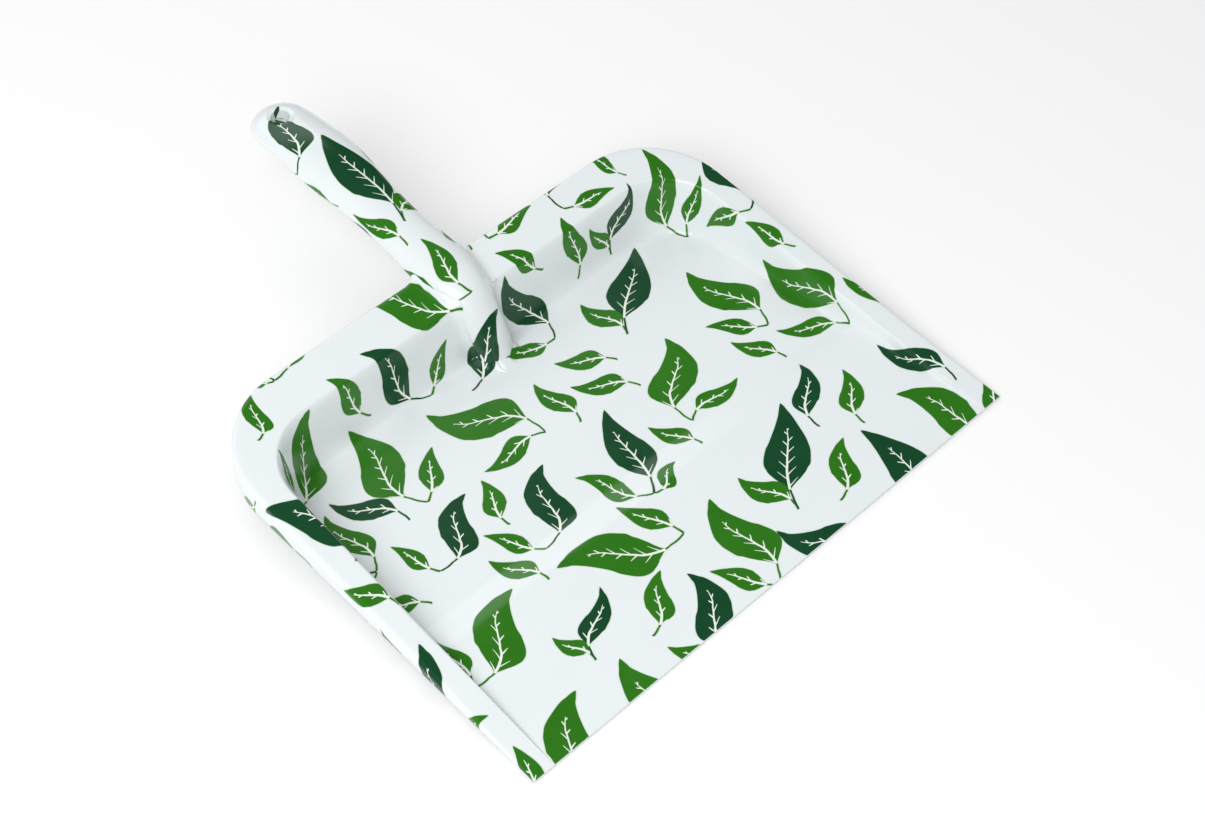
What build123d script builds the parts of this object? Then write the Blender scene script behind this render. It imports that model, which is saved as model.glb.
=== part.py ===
from build123d import *
import os
from math import pi, radians, tan

# Driving dimensions, in millimetres. Y is measured from the front lip until FRONT shifts it.
LENGTH = 360.0
FRONT = -LENGTH / 2

FRONT_HALF_WIDTH = 150.0
REAR_HALF_WIDTH = 148.0
PAN_DEPTH = 229.4
OUTER_CORNER = 46.0
WALL = 2.0

LIP_THICKNESS = 1.0
RIM_REAR_HEIGHT = 35.8
SKIRT_REAR_HEIGHT = 16.6
FOLD_RADIUS = 2.5

INNER_FRONT_HALF = 138.5
INNER_REAR_HALF = 133.4
INNER_DEPTH = 203.7
WALL_DRAFT = 14.0
BOWL_CORNER_AT_DATUM = 39.5
BOWL_DATUM = 60.0
BOWL_FOOT = -6.0

FLOOR_THICKNESS = 1.8
RIDGE_Y = 76.0
RIDGE_TOP = 5.0
RIDGE_RUN = 9.0
FLOOR_START = RIDGE_Y + RIDGE_RUN
OVERRUN = 20.0
TALL = 90.0

# The handle's middle line from the foot of the tongue, up the rear wall and over the rim, to the
# tip: y, height, half width, half thickness.
HANDLE_PATH = [
    (185.0, -7.0, 9.5, 7.0),
    (187.5, -0.8, 9.6, 7.0),
    (190.5, 6.4, 9.8, 7.0),
    (193.3, 14.0, 10.0, 7.0),
    (197.9, 22.2, 10.3, 7.0),
    (203.0, 29.1, 10.9, 7.0),
    (208.3, 33.3, 11.8, 7.0),
    (215.4, 35.7, 13.4, 7.0),
    (229.4, 37.6, 14.9, 7.0),
    (244.0, 39.8, 14.1, 7.0),
    (258.0, 42.3, 13.6, 7.0),
    (272.0, 45.1, 14.1, 7.2),
    (286.0, 47.9, 15.4, 7.6),
    (300.0, 50.5, 16.8, 7.9),
    (314.0, 52.6, 17.0, 7.8),
    (329.0, 53.7, 16.2, 7.2),
    (345.0, 53.9, 15.2, 6.4),
]
HANDLE_WALL = 2.2
HANDLE_SPACE_Y = 150.0

HANG_HOLE_Y = 345.0
HANG_HOLE_RADIUS = 5.0
HANG_TUBE_RADIUS = 8.8
HANG_DISH_DEPTH = 2.0
HANG_DISH_SLOPE = 2.2

SCREW_RADIUS = 1.5
SCREW_HEAD_RADIUS = 2.8
SCREW_HEAD_HEIGHT = 1.6
SCREW_LENGTH = 8.0
SCREW_HEAD_GAP = 0.2
BOSS_RADIUS = 3.4
POST_RADIUS = 4.4
BOSS_HEIGHT = 12.0
BITE = 1.0
TONGUE_SCREW_X = 6.5
TONGUE_SCREW_Y = 217.0
HANDLE_SCREW_YS = (262.0, 316.0)


def rim_height(y):
    """Height of the rim plane's top, y millimetres behind the lip."""
    return LIP_THICKNESS + (RIM_REAR_HEIGHT - LIP_THICKNESS) * y / PAN_DEPTH


def skirt_height(y):
    """Height of the skirt's lower edge."""
    return SKIRT_REAR_HEIGHT * y / PAN_DEPTH


def side_block(points, half_width=FRONT_HALF_WIDTH + OVERRUN):
    """A prism across X whose side view is the given (y, z) outline."""
    outline = make_face(Polyline(*[(0, y, z) for y, z in points], close=True))
    return extrude(outline, half_width, dir=(1, 0, 0), both=True)


def plan_face(half_front, half_rear, front_y, rear_y, corner, z=0.0):
    """The pan's outline seen from above, its two rear corners rounded."""
    face = make_face(Polyline(
        (-half_front, front_y), (half_front, front_y),
        (half_rear, rear_y), (-half_rear, rear_y), close=True))
    rounded = fillet(face.vertices().sort_by(Axis.Y)[-2:], corner)
    return Pos(0, 0, z) * rounded


def under(height, y0=-OVERRUN, y1=PAN_DEPTH + OVERRUN):
    """Everything lower than the sloping line height(y)."""
    return side_block([(y0, -TALL), (y1, -TALL), (y1, height(y1)), (y0, height(y0))])


def inner_half(y):
    """Half width of the tray's mouth at the rim."""
    return INNER_FRONT_HALF + (INNER_REAR_HALF - INNER_FRONT_HALF) * y / INNER_DEPTH


def bowl(grow, drop):
    """The hollow of the tray, or, grown by a wall, the outside of the tray."""
    slope = tan(radians(WALL_DRAFT))
    front_half = inner_half(-OVERRUN) + (BOWL_DATUM - rim_height(-OVERRUN)) * slope
    spread = (BOWL_DATUM - rim_height(INNER_DEPTH)) * slope
    plan = plan_face(front_half + grow, inner_half(INNER_DEPTH) + spread + grow, -OVERRUN,
                     INNER_DEPTH + spread + grow, BOWL_CORNER_AT_DATUM + grow, BOWL_DATUM)
    walls = extrude(plan, BOWL_DATUM - BOWL_FOOT, dir=(0, 0, -1), taper=WALL_DRAFT)
    front, rear = -2 * OVERRUN, PAN_DEPTH + 2 * OVERRUN
    floor = [(front, LIP_THICKNESS - drop), (0, LIP_THICKNESS - drop),
             (RIDGE_Y, RIDGE_TOP - drop), (FLOOR_START, FLOOR_THICKNESS - drop),
             (rear, FLOOR_THICKNESS - drop), (rear, TALL), (front, TALL)]
    return walls & side_block(floor)


def is_rim_edge(edge):
    """True for the outline's top edges, and not for the lip's own edge."""
    middle = edge.center()
    return (abs(middle.Z - rim_height(middle.Y)) < 1 and middle.Y > OVERRUN
            and edge.length > OVERRUN)


def make_tray():
    """Flange and skirt, with the bowl hung in it."""
    outer = plan_face(FRONT_HALF_WIDTH, REAR_HALF_WIDTH, 0, PAN_DEPTH, OUTER_CORNER)
    hull = extrude(outer, TALL) & under(rim_height)
    hull = fillet(hull.edges().filter_by(is_rim_edge), FOLD_RADIUS)
    inner = plan_face(FRONT_HALF_WIDTH - WALL, REAR_HALF_WIDTH - WALL, -OVERRUN,
                      PAN_DEPTH - WALL, OUTER_CORNER - WALL)
    core = extrude(inner, TALL) & under(lambda y: rim_height(y) - WALL)
    flange = (hull - core) - under(skirt_height)
    bowl_outer = bowl(WALL, FLOOR_THICKNESS) & hull
    tray = (flange + bowl_outer) - bowl(0, 0)
    above_ground = side_block([(0, 0), (PAN_DEPTH, 0), (PAN_DEPTH, TALL), (0, TALL)])
    return tray & above_ground


def above_tray():
    """The space over the flange, inside the bowl and behind the pan, where the handle may be."""
    over_rim = side_block([(HANDLE_SPACE_Y, rim_height(HANDLE_SPACE_Y)),
                           (PAN_DEPTH, rim_height(PAN_DEPTH)),
                           (PAN_DEPTH, TALL), (HANDLE_SPACE_Y, TALL)])
    behind = side_block([(PAN_DEPTH, 0), (LENGTH + OVERRUN, 0), (LENGTH + OVERRUN, TALL),
                         (PAN_DEPTH, TALL)])
    return over_rim + behind + bowl(0, 0)


def handle_body(inset=0.0):
    """Oval sections square to the middle line, closed by a round tip."""
    sections = []
    for i, (y, z, half, thick) in enumerate(HANDLE_PATH):
        y0, z0 = HANDLE_PATH[max(i - 1, 0)][:2]
        y1, z1 = HANDLE_PATH[min(i + 1, len(HANDLE_PATH) - 1)][:2]
        square = Plane((0, y, z), x_dir=(1, 0, 0), z_dir=(0, y1 - y0, z1 - z0))
        sections.append(square * Ellipse(half - inset, thick - inset))
    y, z, half, thick = HANDLE_PATH[-1]
    tip = scale(Sphere(1), by=(half - inset, LENGTH - y - inset, thick - inset))
    return loft(sections) + Pos(0, y, z) * tip


def tongue_screw_places():
    slope = 180 / pi * (RIM_REAR_HEIGHT - LIP_THICKNESS) / PAN_DEPTH
    return [Pos(x, TONGUE_SCREW_Y, rim_height(TONGUE_SCREW_Y)) * Rot(slope, 0, 0)
            for x in (-TONGUE_SCREW_X, TONGUE_SCREW_X)]


def handle_middle(y):
    """Height of the handle's middle line, between stations."""
    for (y0, z0, _, _), (y1, z1, _, _) in zip(HANDLE_PATH, HANDLE_PATH[1:]):
        if y0 <= y <= y1:
            return z0 + (z1 - z0) * (y - y0) / (y1 - y0)
    return HANDLE_PATH[-1][1]


def cylinder(radius, z0, z1, x=0.0, y=0.0):
    return Pos(x, y, z0) * extrude(Circle(radius), z1 - z0)


def screw(under_head):
    """A pan-head screw, point up, the head's seat at under_head."""
    head = cylinder(SCREW_HEAD_RADIUS, under_head - SCREW_HEAD_HEIGHT, under_head)
    return head + cylinder(SCREW_RADIUS, under_head, under_head + SCREW_LENGTH)


def handle_screw_seat(y):
    return handle_middle(y) - SCREW_LENGTH / 2


def make_screws():
    """Two through the flange into the tongue, two that close the handle."""
    screws = [place * screw(-WALL) for place in tongue_screw_places()]
    screws += [Pos(0, y, 0) * screw(handle_screw_seat(y)) for y in HANDLE_SCREW_YS]
    return screws


def make_handle():
    """The top shell with its tongue, and the bottom shell."""
    posts = cylinder(HANG_TUBE_RADIUS, 0, TALL, 0, HANG_HOLE_Y)
    for y in HANDLE_SCREW_YS:
        posts += cylinder(POST_RADIUS, 0, TALL, 0, y)
    for place in tongue_screw_places():
        posts += place * cylinder(BOSS_RADIUS, -BITE, BOSS_HEIGHT)
    hollow = handle_body(HANDLE_WALL) - posts
    whole = (handle_body() & above_tray()) - hollow

    whole -= cylinder(HANG_HOLE_RADIUS, 0, TALL, 0, HANG_HOLE_Y)
    dish_top = HANDLE_PATH[-1][1] + HANDLE_PATH[-1][3]
    dish_height = 2 * HANG_DISH_DEPTH
    dish_foot = HANG_HOLE_RADIUS - HANG_DISH_SLOPE / 2
    dish = Cone(dish_foot, dish_foot + HANG_DISH_SLOPE * dish_height, dish_height)
    whole -= Pos(0, HANG_HOLE_Y, dish_top) * dish
    for y in HANDLE_SCREW_YS:
        seat = handle_screw_seat(y)
        whole -= cylinder(SCREW_HEAD_RADIUS + SCREW_HEAD_GAP, 0, seat, 0, y)
        whole -= cylinder(SCREW_RADIUS, seat, seat + SCREW_LENGTH, 0, y)
    for place in tongue_screw_places():
        whole -= place * cylinder(SCREW_RADIUS, -BITE, SCREW_LENGTH - WALL)

    seam = [(PAN_DEPTH, handle_middle(PAN_DEPTH))]
    seam += [(y, z) for y, z, _, _ in HANDLE_PATH if y > PAN_DEPTH]
    seam += [(LENGTH + OVERRUN, seam[-1][1]), (LENGTH + OVERRUN, 0), (PAN_DEPTH, 0)]
    lower = side_block(seam)
    return whole - lower, whole & lower


def write(name, shape):
    """One STEP file, shifted so that Y is zero halfway along the object."""
    pieces = shape if isinstance(shape, list) else shape.solids()
    export_step(Compound(children=[Pos(0, FRONT, 0) * piece for piece in pieces]),
                f"parts/{name}.step")


if __name__ == "__main__":
    os.makedirs("parts", exist_ok=True)
    tray = make_tray()
    for place in tongue_screw_places():
        tray -= place * cylinder(SCREW_RADIUS, -WALL - BITE, BITE)
    top_shell, bottom_shell = make_handle()
    write("pan_tray", tray)
    write("handle_top_shell", top_shell)
    write("handle_bottom_shell", bottom_shell)
    write("shell_screws", make_screws())
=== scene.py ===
import bpy
import bmesh
import math
import random
from mathutils import Matrix, Vector
from mathutils.bvhtree import BVHTree
from mathutils.geometry import delaunay_2d_cdt


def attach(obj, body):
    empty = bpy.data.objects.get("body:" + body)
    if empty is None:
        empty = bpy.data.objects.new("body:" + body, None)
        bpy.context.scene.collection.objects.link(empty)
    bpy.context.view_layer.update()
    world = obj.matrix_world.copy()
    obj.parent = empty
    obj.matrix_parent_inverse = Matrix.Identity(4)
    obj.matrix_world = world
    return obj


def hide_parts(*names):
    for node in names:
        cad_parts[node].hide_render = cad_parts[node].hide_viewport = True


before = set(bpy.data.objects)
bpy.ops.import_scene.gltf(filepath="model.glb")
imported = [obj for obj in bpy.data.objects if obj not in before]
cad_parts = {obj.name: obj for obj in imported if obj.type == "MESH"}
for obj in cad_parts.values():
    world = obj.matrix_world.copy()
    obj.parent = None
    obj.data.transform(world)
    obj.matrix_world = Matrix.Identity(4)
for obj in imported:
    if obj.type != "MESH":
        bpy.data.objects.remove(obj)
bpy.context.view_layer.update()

# Driving dimensions of the pan, in millimetres. Y is measured from the lip here, and FRONT is
# the lip's own Y in the part's frame. The walls lean WALL_LEAN degrees from upright.
FRONT = -180.0
FRONT_HALF, REAR_HALF, DEPTH, CORNER = 150.0, 148.0, 229.4, 46.0
INNER_FRONT_HALF, INNER_REAR_HALF, INNER_DEPTH, INNER_CORNER = 138.5, 133.4, 203.7, 31.5
LIP, RIM_REAR, SKIRT_REAR = 1.0, 35.8, 16.6
WALL, FLOOR_WALL = 2.0, 1.8
WALL_LEAN = 14
STEEPNESS = 1 / math.tan(math.radians(WALL_LEAN))
RAMP_RUN, RIDGE_Y, RIDGE_TOP, RIDGE_SPREAD = 76.0, 80.5, 5.0, 11.0

# Roundings, in millimetres: the skirt's fold and edge, the mouth, the walls' foot, and the
# underside. They shrink where the skirt is low or the bowl shallow.
FOLD, EDGE, MOUTH_ROUNDING, FOOT_ROUNDING, UNDER_ROUNDING = 2.5, 0.5, 5.0, 9.0, 3.0
LEAST_ROUNDING = 0.1

# How finely the skin is divided: stations along each side, each corner and the rear, which is
# finer by the handle; rings over the fold, skirt, flange and wall; and the spacing of the
# floor's points, which is closer over the ridge.
SIDE_STATIONS, ARC_STATIONS, REAR_COARSE, REAR_FINE, FINE_SHARE = 92, 24, 30, 60, 0.3
FOLD_RINGS, SKIRT_RINGS, FLANGE_RINGS, UNDER_RINGS, WALL_RINGS = 6, 4, 5, 4, 7
FLOOR_STEP, RIDGE_STEP, RIDGE_LOW, RIDGE_HIGH, FLOOR_MARGIN = 4, 1.6, 68, 92, 1.5

# Millimetres in one of the frame's units, the distance within which points are joined, and
# the angle in degrees past which a fold looks sharp.
MM, JOIN_WITHIN, SHARP_ANGLE = 1000, 2e-6, 40

# The film is divided into tiles, each with a material that carries only its own leaves. The
# underside's material comes after theirs.
TILE_X, TILE_Y = (-75.0, 0.0, 75.0), (-80.0,)
UNDERSIDE = (len(TILE_X) + 1) * (len(TILE_Y) + 1)


def tile_of(x, y):
    return sum(x > edge for edge in TILE_X) * (len(TILE_Y) + 1) + sum(y > edge for edge in TILE_Y)


# ---------------------------------------------------------------- the pan's smooth skin
def rim_height(y):
    return LIP + (RIM_REAR - LIP) * y / DEPTH


def skirt_height(y):
    return SKIRT_REAR * y / DEPTH


def smooth_min(a, b, k):
    """The lesser of two heights, blended where they are within k of each other."""
    h = max(0.0, 1 - abs(a - b) / k)
    return min(a, b) - h * h * k / 4


def smooth_max(a, b, k):
    return -smooth_min(-a, -b, k)


def floor_height(y):
    """The ramp behind the lip, its low ridge, and the flat behind it."""
    ramp = LIP + (RIDGE_TOP - LIP) * min(y, RIDGE_Y) / RAMP_RUN
    t = min(1.0, max(0.0, (y - RIDGE_Y + RIDGE_SPREAD) / (2 * RIDGE_SPREAD)))
    t = t * t * (3 - 2 * t)
    return ramp * (1 - t) + FLOOR_WALL * t


def inner_half(y):
    return INNER_FRONT_HALF + (INNER_REAR_HALF - INNER_FRONT_HALF) * y / INNER_DEPTH


def stations(half_front, half_rear, rear_y, corner):
    """Points along the U-shaped outline from the left of the lip to its right, with the
    outward direction at each."""
    arc_y = rear_y - corner
    half_arc = half_front + (half_rear - half_front) * arc_y / rear_y
    straight = half_arc - corner
    across = [-1 + (1 - FINE_SHARE) * i / REAR_COARSE for i in range(REAR_COARSE)]
    across += [-FINE_SHARE + 2 * FINE_SHARE * i / REAR_FINE for i in range(REAR_FINE + 1)]
    across += [FINE_SHARE + (1 - FINE_SHARE) * (i + 1) / REAR_COARSE for i in range(REAR_COARSE)]
    left = []
    for i in range(SIDE_STATIONS):
        y = arc_y * i / SIDE_STATIONS
        half = half_front + (half_rear - half_front) * y / rear_y
        left.append(((-half, y), (-1.0, 0.0)))
    for i in range(ARC_STATIONS):
        a = math.pi / 2 * i / ARC_STATIONS
        n = (-math.cos(a), math.sin(a))
        left.append(((-straight + corner * n[0], arc_y + corner * n[1]), n))
    middle = [((f * straight, rear_y), (0.0, 1.0)) for f in across]
    right = [((-p[0], p[1]), (-n[0], n[1])) for p, n in reversed(left)]
    return left + middle + right


def inside_samples(run):
    """How far inside the mouth each ring lies: over the rim, down the wall, across the floor."""
    edge = [-1.6, -1.1, -0.7, -0.35, 0.0, 0.35, 0.7, 1.1, 1.6]
    wall = [run * i / WALL_RINGS for i in range(1, WALL_RINGS)]
    foot = [run + a for a in (-2.2, -1.6, -1.1, -0.6, 0.0, 0.6, 1.1, 1.6, 2.2, 3.2, 5, 8, 12, 16)]
    return sorted(edge + wall + foot)


def top_profile(y_mouth):
    """Depth at this place along the mouth, and the run of its wall."""
    depth = rim_height(y_mouth) - floor_height(y_mouth)
    return depth, max(0.0, depth) / STEEPNESS


def top_height(y, y_mouth, d):
    """Height of the visible side at a distance d inside the mouth."""
    depth, _ = top_profile(y_mouth)
    rounding = min(MOUTH_ROUNDING, 0.5 * depth + LEAST_ROUNDING)
    foot = min(FOOT_ROUNDING, 0.55 * depth + LEAST_ROUNDING)
    over = smooth_min(rim_height(y), rim_height(y_mouth) - d * STEEPNESS, rounding)
    return smooth_max(over, floor_height(y), foot)


def under_height(y, y_mouth, d):
    """Height of the underside at the same place."""
    flange = max(skirt_height(y), rim_height(y) - WALL)
    rounding = min(UNDER_ROUNDING, 0.4 * top_profile(y_mouth)[0] + LEAST_ROUNDING)
    wall = rim_height(y_mouth) - (d + WALL) * STEEPNESS
    return smooth_max(smooth_min(flange, wall, rounding),
                      max(0.0, floor_height(y) - FLOOR_WALL), rounding)


def between(start, end, count):
    """The points that divide a line into that many equal lengths."""
    return [tuple(a + (b - a) * i / count for a, b in zip(start, end)) for i in range(1, count)]


def unrolled(rows, n):
    """Adds print coordinates to a section's points: the film follows the surface outwards from
    the floor, so walls and folds are laid flat along the outward direction n."""
    px, py = rows[-1][:2]
    placed = [(*rows[-1], px, py)]
    for inner, outer in zip(rows[::-1], rows[-2::-1]):
        dx, dy, dz = (outer[i] - inner[i] for i in range(3))
        out = dx * n[0] + dy * n[1]
        stretch = math.hypot(out, dz) - out
        px, py = px + dx + n[0] * stretch, py + dy + n[1] * stretch
        placed.append((*outer, px, py))
    return placed[::-1]


def top_section(outer, inner, n):
    """One section of the visible side, from the skirt's edge to the floor."""
    (px, py), (qx, qy) = outer, inner
    rim, skirt = rim_height(py), skirt_height(py)
    fold = min(FOLD, 0.45 * (rim - skirt))
    edge = min(EDGE, 0.25 * (rim - skirt))
    straight = rim - fold - skirt - edge
    profile = [(edge, skirt), (edge * 0.3, skirt + edge * 0.3)]
    profile += [(0, skirt + edge + straight * i / SKIRT_RINGS) for i in range(SKIRT_RINGS + 1)]
    for i in range(1, FOLD_RINGS + 1):
        a = math.pi / 2 * i / FOLD_RINGS
        profile.append((fold * (1 - math.cos(a)), rim - fold + fold * math.sin(a)))
    rows = [(px - n[0] * inset, py - n[1] * inset, z) for inset, z in profile]
    _, run = top_profile(qy)
    samples = inside_samples(run)
    start = (px - n[0] * fold, py - n[1] * fold)
    end = (qx - n[0] * samples[0], qy - n[1] * samples[0])
    for x, y in between(start, end, FLANGE_RINGS):
        rows.append((x, y, rim_height(y)))
    for d in samples:
        x, y = qx - n[0] * d, qy - n[1] * d
        rows.append((x, y, top_height(y, qy, d)))
    return unrolled(rows, n)


def under_section(outer, inner, n):
    """The same section of the underside, from the skirt's edge inwards."""
    (px, py), (qx, qy) = outer, inner
    rim, skirt = rim_height(py), skirt_height(py)
    edge = min(EDGE, 0.25 * (rim - skirt))
    roof = max(skirt, rim - WALL)
    corner = 1.2
    rows = []
    for inset, z in ((edge, skirt), (WALL - edge, skirt), (WALL, min(roof, skirt + edge)),
                     (WALL, (skirt + roof) / 2), (WALL, max(skirt, roof - corner)),
                     (WALL + corner / 3, max(skirt, roof - 0.35)), (WALL + corner, roof)):
        rows.append((px - n[0] * inset, py - n[1] * inset, z, px, py))
    _, run = top_profile(qy)
    samples = [d - WALL for d in inside_samples(run)]
    start = (px - n[0] * (WALL + corner), py - n[1] * (WALL + corner))
    end = (qx - n[0] * samples[0], qy - n[1] * samples[0])
    for x, y in between(start, end, UNDER_RINGS):
        rows.append((x, y, max(skirt_height(y), rim_height(y) - WALL), x, y))
    for d in samples:
        x, y = qx - n[0] * d, qy - n[1] * d
        rows.append((x, y, under_height(y, qy, d), x, y))
    return rows


def inward(x, y):
    """Distance inside the mouth's outline."""
    half = inner_half(y)
    cx, cy = half - INNER_CORNER, INNER_DEPTH - INNER_CORNER
    if abs(x) > cx and y > cy:
        return INNER_CORNER - math.hypot(abs(x) - cx, y - cy)
    return min(half - abs(x), INNER_DEPTH - y)


def fill_middle(ring, height):
    """Triangles over the floor inside the last ring, which is open along the lip."""
    points = [Vector(p[:2]) for p in ring]
    limit = inward(*ring[len(ring) // 2][:2])
    left, right = ring[0][0], ring[-1][0]
    count = int((right - left) / FLOOR_STEP)
    points += [Vector((right + (left - right) * i / count, 0)) for i in range(1, count)]
    edges = [(i, (i + 1) % len(points)) for i in range(len(points))]
    columns = int(INNER_FRONT_HALF / FLOOR_STEP)
    y = float(FLOOR_STEP)
    while y < INNER_DEPTH:
        for x in (float(FLOOR_STEP * i) for i in range(-columns, columns + 1)):
            in_floor = left + FLOOR_MARGIN < x < right - FLOOR_MARGIN
            if in_floor and inward(x, y) > limit + FLOOR_MARGIN:
                points.append(Vector((x, y)))
        y += RIDGE_STEP if RIDGE_LOW < y < RIDGE_HIGH else FLOOR_STEP
    verts, _, faces = delaunay_2d_cdt(points, edges, [], 1, 1e-4)[:3]
    return [(v[0], v[1], height(v[1]), v[0], v[1]) for v in verts], faces


def pan_mesh():
    """The tray as one closed skin, with print coordinates on its vertices."""
    outer = stations(FRONT_HALF, REAR_HALF, DEPTH, CORNER)
    inner = stations(INNER_FRONT_HALF, INNER_REAR_HALF, INNER_DEPTH, INNER_CORNER)
    mesh = bmesh.new()
    print_place = mesh.verts.layers.float_vector.new("print_place")

    def add(p):
        v = mesh.verts.new((p[0] / MM, (p[1] + FRONT) / MM, p[2] / MM))
        v[print_place] = (p[3], p[4] + FRONT, 1)
        return v

    for is_under, section, floor in (
            (False, top_section, floor_height),
            (True, under_section, lambda y: max(0.0, floor_height(y) - FLOOR_WALL))):
        grid = [[add(p) for p in section(o[0], i[0], o[1])] for o, i in zip(outer, inner)]
        ring = [(row[-1].co.x * MM, row[-1].co.y * MM - FRONT) for row in grid]
        ring[0], ring[-1] = (ring[0][0], 0.0), (ring[-1][0], 0.0)
        made = []
        for a, b in zip(grid, grid[1:]):
            for j in range(len(a) - 1):
                made.append(mesh.faces.new((a[j], b[j], b[j + 1], a[j + 1])))
        points, triangles = fill_middle(ring, floor)
        verts = [add(p) for p in points]
        made += [mesh.faces.new([verts[k] for k in t]) for t in triangles]
        for face in made:
            face.smooth = True
            face.material_index = UNDERSIDE if is_under else tile_of(*(
                sum(v[print_place][i] for v in face.verts) / len(face.verts) for i in (0, 1)))
    bmesh.ops.remove_doubles(mesh, verts=mesh.verts, dist=JOIN_WITHIN)
    lip_edges = [e for e in mesh.edges if e.is_boundary]
    bmesh.ops.edgeloop_fill(mesh, edges=lip_edges, mat_nr=UNDERSIDE)
    bmesh.ops.recalc_face_normals(mesh, faces=mesh.faces)
    mesh.normal_update()
    if sum(f.normal.z * f.calc_area() for f in mesh.faces if f.material_index != UNDERSIDE) < 0:
        bmesh.ops.reverse_faces(mesh, faces=mesh.faces)
    swell_to_handle(mesh)
    data = bpy.data.meshes.new("pan_skin")
    mesh.to_mesh(data)
    mesh.free()
    data.set_sharp_from_angle(angle=math.radians(SHARP_ANGLE))
    return data


# The fillet round the handle's tongue, in millimetres: how wide it blends, how far it stays
# under the handle's surface, and the most that it lifts the skin; then how it is worked out, in
# rounds that each close a share of the gap. It may lie up to FILLET_X from the middle and from
# FILLET_Y rearwards, and on points that face down only past FLANGE_Y.
FILLET_REACH, FILLET_UNDER, FILLET_MOST, FILLET_ROUNDS, FILLET_STEP = 6.0, 0.08, 4.0, 12, 0.8
FILLET_X, FILLET_Y, FLANGE_Y = 30, 0.0, 45


def swell_to_handle(mesh):
    """A concave fillet where the handle meets the pan, just under the handle's own surface."""
    shell = bmesh.new()
    shell.from_mesh(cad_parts["handle_top_shell"].data)
    tree = BVHTree.FromBMesh(shell)
    shell.free()

    def clearance(p):
        hit, normal, _, distance = tree.find_nearest(p)
        side = 1 if (p - hit).dot(normal) > 0 else -1
        return side * distance * MM + FILLET_UNDER

    for v in mesh.verts:
        x, y = v.co.x * MM, v.co.y * MM
        if abs(x) > FILLET_X or y < FILLET_Y or v.normal.z < 0 and y < FLANGE_Y:
            continue
        if not any(f.material_index != UNDERSIDE for f in v.link_faces) or clearance(v.co) < -1:
            continue
        start, normal, lift = v.co.copy(), v.normal.copy(), 0.0
        for _ in range(FILLET_ROUNDS):
            gap = smooth_min(lift, clearance(start + normal * lift / MM), FILLET_REACH)
            lift -= FILLET_STEP * gap
        v.co = start + normal * max(0.0, min(lift, FILLET_MOST)) / MM


# ---------------------------------------------------------------- materials
class Nodes:
    """Short spellings for building a node tree."""

    def __init__(self, tree):
        self.tree = tree

    def new(self, kind, **settings):
        node = self.tree.nodes.new(kind)
        for name, value in settings.items():
            setattr(node, name, value)
        return node

    def wire(self, node, values):
        """Links or sets a node's inputs, by name or number."""
        for key, value in values.items():
            if isinstance(value, bpy.types.NodeSocket):
                self.tree.links.new(value, node.inputs[key])
            else:
                node.inputs[key].default_value = value
        return node

    def feed(self, node, *values):
        """The same for the first inputs in turn; hands on the node's first output."""
        self.wire(node, dict(enumerate(values)))
        return node.outputs[0] if node.outputs else None

    def math(self, operation, *values, clamp=False):
        return self.feed(self.new("ShaderNodeMath", operation=operation, use_clamp=clamp), *values)

    def vector(self, operation, *values):
        node = self.new("ShaderNodeVectorMath", operation=operation)
        self.feed(node, *values)
        return node.outputs["Value" if operation == "DOT_PRODUCT" else "Vector"]

    def curve(self, value, points):
        node = self.new("ShaderNodeFloatCurve")
        node.mapping.use_clip = False
        line = node.mapping.curves[0]
        while len(line.points) < len(points):
            line.points.new(0.5, 0.5)
        for point, place in zip(line.points, points):
            point.location = place
            point.handle_type = "AUTO_CLAMPED"
        node.mapping.update()
        self.tree.links.new(value, node.inputs["Value"])
        return node.outputs["Value"]

    def mix(self, factor, a, b):
        """Two colours mixed. Inputs 6 and 7 and output 2 are the colours among the node's kinds."""
        node = self.new("ShaderNodeMix", data_type="RGBA")
        return self.wire(node, {"Factor": factor, 6: a, 7: b}).outputs[2]

    def noise(self, where, scale, detail):
        node = self.new("ShaderNodeTexNoise")
        return self.wire(node, {"Vector": where, "Scale": scale, "Detail": detail}).outputs["Fac"]


# The shape of a leaf from its stem end to its tip. By share along it: half the blade's width as
# a share of the widest, half the stem's and the vein's thickness in millimetres (below zero is
# none), and how far the midrib sways.
BLADE = [(0.0, -0.12), (0.14, -0.1), (0.19, 0.06), (0.24, 0.3), (0.3, 0.62), (0.37, 0.87),
         (0.45, 1.0), (0.53, 0.97), (0.61, 0.84), (0.69, 0.68), (0.77, 0.5), (0.85, 0.33),
         (0.92, 0.18), (0.97, 0.07), (1.0, -0.05)]
STEM = [(0.0, -0.6), (0.012, 0.62), (0.15, 0.5), (0.34, 0.5), (0.36, -0.6), (1.0, -0.6)]
VEIN = [(0.0, -0.6), (0.17, -0.6), (0.19, 0.6), (0.5, 0.42), (0.74, 0.12), (0.78, -0.6),
        (1.0, -0.6)]
SWAY = [(0.0, 0.0), (0.12, 0.65), (0.27, 1.0), (0.42, 0.66), (0.56, 0.1), (0.7, -0.35),
        (0.82, -0.42), (0.92, -0.22), (1.0, 0.05)]

# What marks a leaf's length as the darker ink's, the edge depth where there is no leaf at all,
# and how much slimmer than its kind every leaf is drawn.
DARK_TAG, NO_LEAF, SLIMMING = 1000.0, -9.0, 0.97

# The short side veins: how far apart, how far they lean and are staggered from side to side, how
# thick they are and taper, all in millimetres or per millimetre; and their reach as a share.
BARB_SPACING, BARB_LEAN, BARB_STAGGER = 3.3, 1.1, 2.6
BARB_THICKNESS, BARB_TAPER, BARB_REACH = 0.48, 0.08, 0.13


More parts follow.
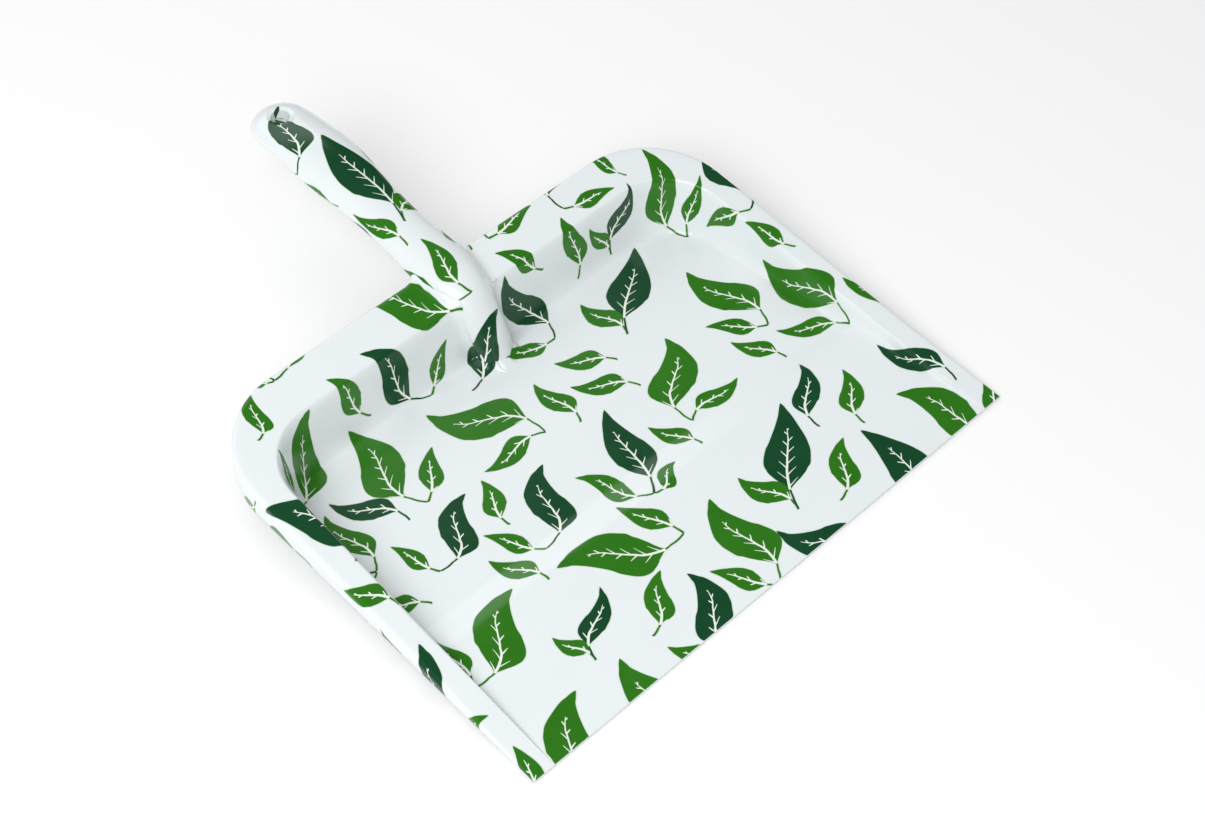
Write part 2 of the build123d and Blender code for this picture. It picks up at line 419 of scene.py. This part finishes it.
def leaf_group():
    """One printed leaf. Hands on the greater of the edge depth so far and its own, in
    millimetres, and for whichever leaf is on top: the share along it, the offset across it,
    and its length, to which DARK_TAG is added in the darker ink."""
    tree = bpy.data.node_groups.new("printed_leaf", "ShaderNodeTree")
    for name, kind in (("Place", "Vector"), ("Along", "Vector"), ("Across", "Vector"),
                       ("Half width", "Float"), ("Sway", "Float"),
                       ("Tag", "Float"), ("Top leaf", "Vector"), ("Edge", "Float")):
        tree.interface.new_socket(name, in_out="INPUT", socket_type="NodeSocket" + kind)
    tree.interface.new_socket("Top leaf", in_out="OUTPUT", socket_type="NodeSocketVector")
    tree.interface.new_socket("Edge", in_out="OUTPUT", socket_type="NodeSocketFloat")
    n = Nodes(tree)
    given = n.new("NodeGroupInput").outputs
    u = n.vector("DOT_PRODUCT", given["Place"], given["Along"])
    b = n.vector("DOT_PRODUCT", given["Place"], given["Across"])
    b = n.math("MULTIPLY_ADD", n.curve(u, SWAY), given["Sway"], b)
    half = n.math("MULTIPLY", n.curve(u, BLADE), given["Half width"])
    half = n.math("MAXIMUM", half, n.curve(u, STEM))
    edge = n.math("SUBTRACT", half, n.math("ABSOLUTE", b))
    own = n.new("ShaderNodeCombineXYZ")
    n.feed(own, u, b, given["Tag"])
    choice = n.new("ShaderNodeMix", data_type="VECTOR")
    is_top = n.math("GREATER_THAN", edge, given["Edge"])
    n.wire(choice, {"Factor": is_top, 4: given["Top leaf"], 5: own.outputs[0]})
    result = n.new("NodeGroupOutput")
    n.feed(result, choice.outputs[1], n.math("MAXIMUM", edge, given["Edge"]))
    return tree


# The kinds of sprig, as their leaves that share a stem end. For each leaf: its length in
# millimetres, its lean from the sprig's direction in degrees, half its width and the sway of
# its midrib as shares of its length, and 1 for the darker ink.
LARGE_SPRIGS = [
    [(66, 10, 0.18, -0.04, 1), (34, -42, 0.23, 0.1, 0)],
    [(60, 12, 0.22, 0.12, 0), (38, -40, 0.17, 0.08, 0)],
    [(58, -10, 0.21, -0.1, 0), (33, 35, 0.18, 0.04, 0)],
    [(64, 0, 0.17, 0.05, 1), (42, -48, 0.17, -0.1, 0), (24, 50, 0.23, 0.12, 0)],
    [(50, -20, 0.2, -0.13, 1), (30, 50, 0.17, 0.04, 0)]]
SMALL_SPRIGS = [
    [(42, 0, 0.17, 0.1, 1)],
    [(36, 0, 0.19, -0.08, 0)],
    [(30, 0, 0.2, 0.06, 0)],
    [(38, 12, 0.16, -0.1, 1), (22, -50, 0.22, 0.08, 0)]]

# The least distance between sprigs, in millimetres, and how their size varies.
LEAF_GAP, SMALLEST, LARGEST = 4.0, 0.92, 1.05

# Places along a leaf with the share of its half width there, for keeping leaves apart.
GIRTH = [(0.04, 0.1), (0.22, 0.45), (0.38, 0.9), (0.55, 0.95), (0.72, 0.65), (0.88, 0.3),
         (1.0, 0.05)]


def discs_over(leaf):
    """Circles strung along a leaf, about as wide as it is. Its sway is left out."""
    x, y, length, angle, width = leaf[:5]
    c, s = math.cos(math.radians(angle)), math.sin(math.radians(angle))
    return [(x + c * length * t, y + s * length * t, length * width * share) for t, share in GIRTH]


def scatter(draw, low, high, headings, kept, rounds):
    """Leaves strewn over a stretch of film between two corners, with their sprigs headed within
    a range of degrees, clear of other sprigs and of the leaves kept. Each round is a list of
    sprigs to choose from and a number of tries."""
    taken = [disc for leaf in kept for disc in discs_over(leaf)]
    placed = []
    for sprigs, tries in rounds:
        for _ in range(tries):
            x, y = draw.uniform(low[0], high[0]), draw.uniform(low[1], high[1])
            heading, size = draw.uniform(*headings), draw.uniform(SMALLEST, LARGEST)
            side = draw.choice((-1, 1))
            sprig = [(x, y, length * size, heading + side * lean, width, side * sway, dark)
                     for length, lean, width, sway, dark in draw.choice(sprigs)]
            discs = [disc for leaf in sprig for disc in discs_over(leaf)]
            if all(math.hypot(a[0] - b[0], a[1] - b[1]) > a[2] + b[2] + LEAF_GAP
                   for a in discs for b in taken):
                placed += sprig
                taken += discs
    return placed


# Each leaf: stem end x and y, length and direction on the flat film, then as in the sprigs.
# The pan's leaves near the tongue are printed across it too. The handle's own have their stem
# ends past HANDLE_START.
HANDLE_START, TONGUE_FRONT, TONGUE_SIDE = 62, -60, 60
draw = random.Random(11)
PAN_LEAVES = scatter(draw, (-176, -222), (176, 96), (35, 145), [],
                     [(LARGE_SPRIGS, 1500), (SMALL_SPRIGS, 2500)])
TONGUE_LEAVES = [leaf for leaf in PAN_LEAVES
                 if abs(leaf[0]) < TONGUE_SIDE and TONGUE_FRONT < leaf[1] < HANDLE_START]
HANDLE_LEAVES = TONGUE_LEAVES + scatter(
    draw, (-44, HANDLE_START), (44, 186), (60, 120), TONGUE_LEAVES,
    [(LARGE_SPRIGS, 120), (SMALL_SPRIGS, 900)])


def print_masks(n, place, leaves):
    """The green ink's edge, which tone it is, and the white veins' edge."""
    group = bpy.data.node_groups.get("printed_leaf") or leaf_group()
    top, edge = (0.0, 0.0, 0.0), NO_LEAF
    for x, y, length, angle, width, sway, dark in leaves:
        c, s = math.cos(math.radians(angle)), math.sin(math.radians(angle))
        node = n.new("ShaderNodeGroup")
        node.node_tree = group
        n.wire(node, {
            "Place": place, "Along": (c / length, s / length, -(x * c + y * s) / length),
            "Across": (-s, c, x * s - y * c), "Half width": SLIMMING * width * length,
            "Sway": -sway * length, "Tag": length + DARK_TAG * dark,
            "Top leaf": top, "Edge": edge})
        top, edge = node.outputs["Top leaf"], node.outputs["Edge"]
    split = n.new("ShaderNodeSeparateXYZ")
    n.feed(split, top)
    u, b, tag = split.outputs
    dark = n.math("GREATER_THAN", tag, DARK_TAG / 2)
    length = n.math("MULTIPLY_ADD", dark, -DARK_TAG, tag)
    off = n.math("ABSOLUTE", b)
    phase = n.math("MULTIPLY_ADD", off, -BARB_LEAN, n.math("MULTIPLY", u, length))
    phase = n.math("MULTIPLY_ADD", n.math("GREATER_THAN", b, 0.0), BARB_STAGGER, phase)
    thickness = n.math("MULTIPLY_ADD", off, -BARB_TAPER, BARB_THICKNESS)
    barb = n.math("SUBTRACT", thickness, n.math("PINGPONG", phase, BARB_SPACING))
    vein = n.curve(u, VEIN)
    reach = n.math("MULTIPLY", n.math("MULTIPLY", vein, BARB_REACH), length)
    barb = n.math("MINIMUM", barb, n.math("SUBTRACT", reach, off))
    barb = n.math("MINIMUM", barb, n.math("MULTIPLY", vein, 2.0))
    veins = n.math("MAXIMUM", n.math("SUBTRACT", vein, off), barb)
    return edge, dark, n.math("MINIMUM", veins, edge)


WHITE, MOTTLED_WHITE = (0.78, 0.83, 0.84, 1), (0.78, 0.83, 0.845)
HALO_GREEN, VEIN_WHITE = (0.45, 0.62, 0.36, 1), (0.8, 0.86, 0.78, 1)
MID_GREENS = (0.022, 0.15, 0.008, 1), (0.034, 0.2, 0.012, 1)
DARK_GREENS = (0.006, 0.052, 0.018, 1), (0.011, 0.078, 0.03, 1)
# How soft the edges of the ink, the halo and the veins are, and how far the halo stands out, in
# millimetres; and how strong the halo is.
INK_SOFTNESS, HALO_SOFTNESS, VEIN_SOFTNESS, HALO_WIDTH, HALO_STRENGTH = 0.22, 0.5, 0.2, 0.45, 0.4


def plastic(name, mottle, roughness):
    """Glossy white plastic: faint mottling, faint waviness. Returns the material, its nodes and
    shader, and the outputs that a print builds on: the white, the place and the mottling."""
    material = bpy.data.materials.new(name)
    material.use_nodes = True
    n = Nodes(material.node_tree)
    shader = material.node_tree.nodes["Principled BSDF"]
    where = n.new("ShaderNodeTexCoord").outputs["Object"]
    clouds = n.noise(where, 45.0, 3.0)
    white = n.mix(clouds, WHITE, (*(part - mottle for part in MOTTLED_WHITE), 1))
    bump = n.new("ShaderNodeBump")
    n.wire(bump, {"Strength": 0.05, "Distance": 0.001, "Height": n.noise(where, 70.0, 1.0)})
    n.wire(shader, {
        "Base Color": white, "Roughness": n.math("MULTIPLY_ADD", clouds, 0.08, roughness),
        "Normal": bump.outputs["Normal"], "IOR": 1.5, "Specular IOR Level": 0.5})
    return material, n, shader, white, where, clouds


def printed(name, place_of, leaves):
    """The same plastic with the leaf print over it."""
    material, n, shader, white, where, clouds = plastic(name, 0.02, 0.16)
    edge, dark, veins = print_masks(n, place_of(n, where), leaves)

    def mask(value, softness, grow=0.0):
        return n.math("MULTIPLY_ADD", value, 1 / softness, 0.5 + grow / softness, clamp=True)

    halo = n.math("MULTIPLY", mask(edge, HALO_SOFTNESS, HALO_WIDTH), HALO_STRENGTH)
    green = n.mix(dark, n.mix(clouds, *MID_GREENS), n.mix(clouds, *DARK_GREENS))
    colour = n.mix(mask(edge, INK_SOFTNESS), n.mix(halo, white, HALO_GREEN), green)
    n.wire(shader, {"Base Color": n.mix(mask(veins, VEIN_SOFTNESS), colour, VEIN_WHITE)})
    return material


def skin_place(n, _):
    """Print coordinates on the pan, which its vertices carry."""
    return n.new("ShaderNodeAttribute", attribute_name="print_place").outputs["Vector"]


# The handle's film, in millimetres: where the handle starts and how long it is, its height along
# that (in tenths of a metre), the grip's half sizes, where the film starts to wrap round, how
# high the tongue climbs, and how much longer the film is for it.
HANDLE_FROM, HANDLE_RUN, GRIP_HALF_WIDTH, GRIP_HALF_HEIGHT = 20, 150, 14.5, 7.0
HANDLE_HEIGHTS = [(0.0, 0.29), (0.1, 0.36), (0.2, 0.38), (0.4, 0.43), (0.6, 0.49), (0.75, 0.52),
                  (0.9, 0.54), (1.0, 0.54)]
WRAP_FROM, WRAP_RUN, CLIMB_FROM, CLIMB, WALL_EXTRA = 30, 20, 2, 36, 23.0


def handle_place(n, where):
    """Print coordinates on the handle: laid flat up the tongue, and round the grip."""
    split = n.new("ShaderNodeSeparateXYZ")
    n.feed(split, where)
    x, y, z = (n.math("MULTIPLY", split.outputs[i], MM) for i in range(3))
    run = n.math("MULTIPLY_ADD", y, 1 / HANDLE_RUN, -HANDLE_FROM / HANDLE_RUN)
    middle = n.math("MULTIPLY", n.curve(run, HANDLE_HEIGHTS), 100.0)
    up = n.math("DIVIDE", n.math("SUBTRACT", z, middle), GRIP_HALF_HEIGHT)
    turn = n.math("ARCTAN2", n.math("DIVIDE", x, GRIP_HALF_WIDTH), up)
    round_it = n.math("MULTIPLY", turn, GRIP_HALF_WIDTH)
    blend = n.math("MULTIPLY_ADD", y, 1 / WRAP_RUN, -WRAP_FROM / WRAP_RUN, clamp=True)
    across = n.math("MULTIPLY_ADD", n.math("SUBTRACT", round_it, x), blend, x)
    past = n.math("SUBTRACT", blend, CLIMB_FROM / CLIMB)
    risen = n.math("MULTIPLY_ADD", z, 1 / CLIMB, past, clamp=True)
    joined = n.new("ShaderNodeCombineXYZ")
    return n.feed(joined, across, n.math("MULTIPLY_ADD", risen, WALL_EXTRA, y), 1.0)


# How far a leaf is taken to reach sideways: its half width with room for the sway, and the
# stem's and the halo's width.
REACH_SHARE, REACH_EXTRA = 1.2, 8


def leaves_near(tile):
    """The leaves of which any part may lie on a tile."""
    found = []
    for leaf in PAN_LEAVES:
        x, y, length, angle, width = leaf[:5]
        c, s = math.cos(math.radians(angle)), math.sin(math.radians(angle))
        reach = REACH_SHARE * width * length + REACH_EXTRA
        spots = [(x + c * length * k / 4 + i * reach, y + s * length * k / 4 + j * reach)
                 for k in range(5) for i in (-1, 0, 1) for j in (-1, 0, 1)]
        if tile in {tile_of(*spot) for spot in spots}:
            found.append(leaf)
    return found


def zinc():
    """Faintly mottled zinc plating for the screws."""
    material = bpy.data.materials.new("zinc_plated_screw")
    material.use_nodes = True
    n = Nodes(material.node_tree)
    grain = n.new("ShaderNodeTexNoise")
    grain.inputs["Scale"].default_value = 900.0
    grain = grain.outputs["Fac"]
    n.wire(material.node_tree.nodes["Principled BSDF"], {
        "Base Color": n.mix(grain, (0.42, 0.43, 0.45, 1), (0.62, 0.63, 0.64, 1)),
        "Roughness": n.math("MULTIPLY_ADD", grain, 0.2, 0.25), "Metallic": 1.0})
    return material


printed_pan = [printed(f"printed_white_plastic_{i + 1}", skin_place, leaves_near(i))
               for i in range(UNDERSIDE)]
printed_handle = printed("printed_white_handle_plastic", handle_place, HANDLE_LEAVES)
plain_under = plastic("white_plastic_underside", 0.04, 0.3)[0]
screw_metal = zinc()

# ---------------------------------------------------------------- pieces
skin = bpy.data.objects.new("pan_skin", pan_mesh())
bpy.context.scene.collection.objects.link(skin)
for material in (*printed_pan, plain_under):
    skin.data.materials.append(material)
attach(skin, "root")
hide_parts("pan_tray")

for name, material in (("handle_top_shell", printed_handle),
                       ("handle_bottom_shell", printed_handle),
                       ("shell_screws", screw_metal)):
    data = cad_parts[name].data
    data.materials.clear()
    data.materials.append(material)


# ---------------------------------------------------------------- stage, light and camera
FLOOR_HALF, FLOOR_DROP = 6, 0.0005
WORLD_STRENGTH = 0.6


def studio_floor():
    """A wide sheet of pale paper, a hair under the pan."""
    paper = bpy.data.materials.new("studio_paper")
    paper.use_nodes = True
    shader = paper.node_tree.nodes["Principled BSDF"]
    shader.inputs["Base Color"].default_value = (0.93, 0.93, 0.93, 1)
    shader.inputs["Roughness"].default_value = 0.9
    data = bpy.data.meshes.new("studio_floor")
    corners = [(FLOOR_HALF * x, FLOOR_HALF * y, 0) for x, y in ((-1, -1), (1, -1), (1, 1), (-1, 1))]
    data.from_pydata(corners, [], [(0, 1, 2, 3)])
    data.materials.append(paper)
    floor = bpy.data.objects.new("studio_floor", data)
    floor.location = (0, 0, -FLOOR_DROP)
    bpy.context.scene.collection.objects.link(floor)


studio_floor()

# Even white light from all round, which the gloss doesn't mirror.
world = bpy.data.worlds.new("studio")
world.use_nodes = True
background = world.node_tree.nodes["Background"]
background.inputs["Color"].default_value = (1, 1, 1, 1)
background.inputs["Strength"].default_value = WORLD_STRENGTH
world.cycles_visibility.glossy = False
bpy.context.scene.world = world


def softbox(name, place, size, power):
    """A rectangular light that faces the middle of the pan. Sizes in metres, power in watts."""
    data = bpy.data.lights.new(name, "AREA")
    data.shape, data.size, data.size_y, data.energy = "RECTANGLE", size[0], size[1], power
    made = bpy.data.objects.new(name, data)
    made.location = place
    made.rotation_mode = "QUATERNION"
    made.rotation_quaternion = (-Vector(place)).to_track_quat("-Z", "Y")
    bpy.context.scene.collection.objects.link(made)


softbox("key_softbox", (-1.1, -0.5, 1.3), (1.2, 1.2), 20)
softbox("back_softbox", (0.3, 1.5, 1.2), (1.6, 0.8), 6)

bpy.context.scene.view_settings.view_transform = "Standard"

# The camera's place in metres, the way it faces, its roll in degrees and its lens in millimetres.
CAMERA_PLACE, CAMERA_FORWARD = (-0.4520, -0.5668, 0.7822), (0.4424, 0.4907, -0.7507)
CAMERA_ROLL, LENS, SENSOR_WIDTH = -2.5, 65.9, 36.0

camera = bpy.data.objects.new("camera", bpy.data.cameras.new("camera"))
forward = Vector(CAMERA_FORWARD).normalized()
level = forward.cross(Vector((0, 0, 1))).normalized()
upward = level.cross(forward)
roll = math.radians(CAMERA_ROLL)
right = level * math.cos(roll) + upward * math.sin(roll)
up = upward * math.cos(roll) - level * math.sin(roll)
turned = Matrix((right, up, -forward)).transposed().to_4x4()
camera.matrix_world = Matrix.Translation(CAMERA_PLACE) @ turned
camera.data.sensor_width, camera.data.lens = SENSOR_WIDTH, LENS
camera.data.clip_start, camera.data.clip_end = 0.05, 50
bpy.context.scene.collection.objects.link(camera)
bpy.context.scene.camera = camera
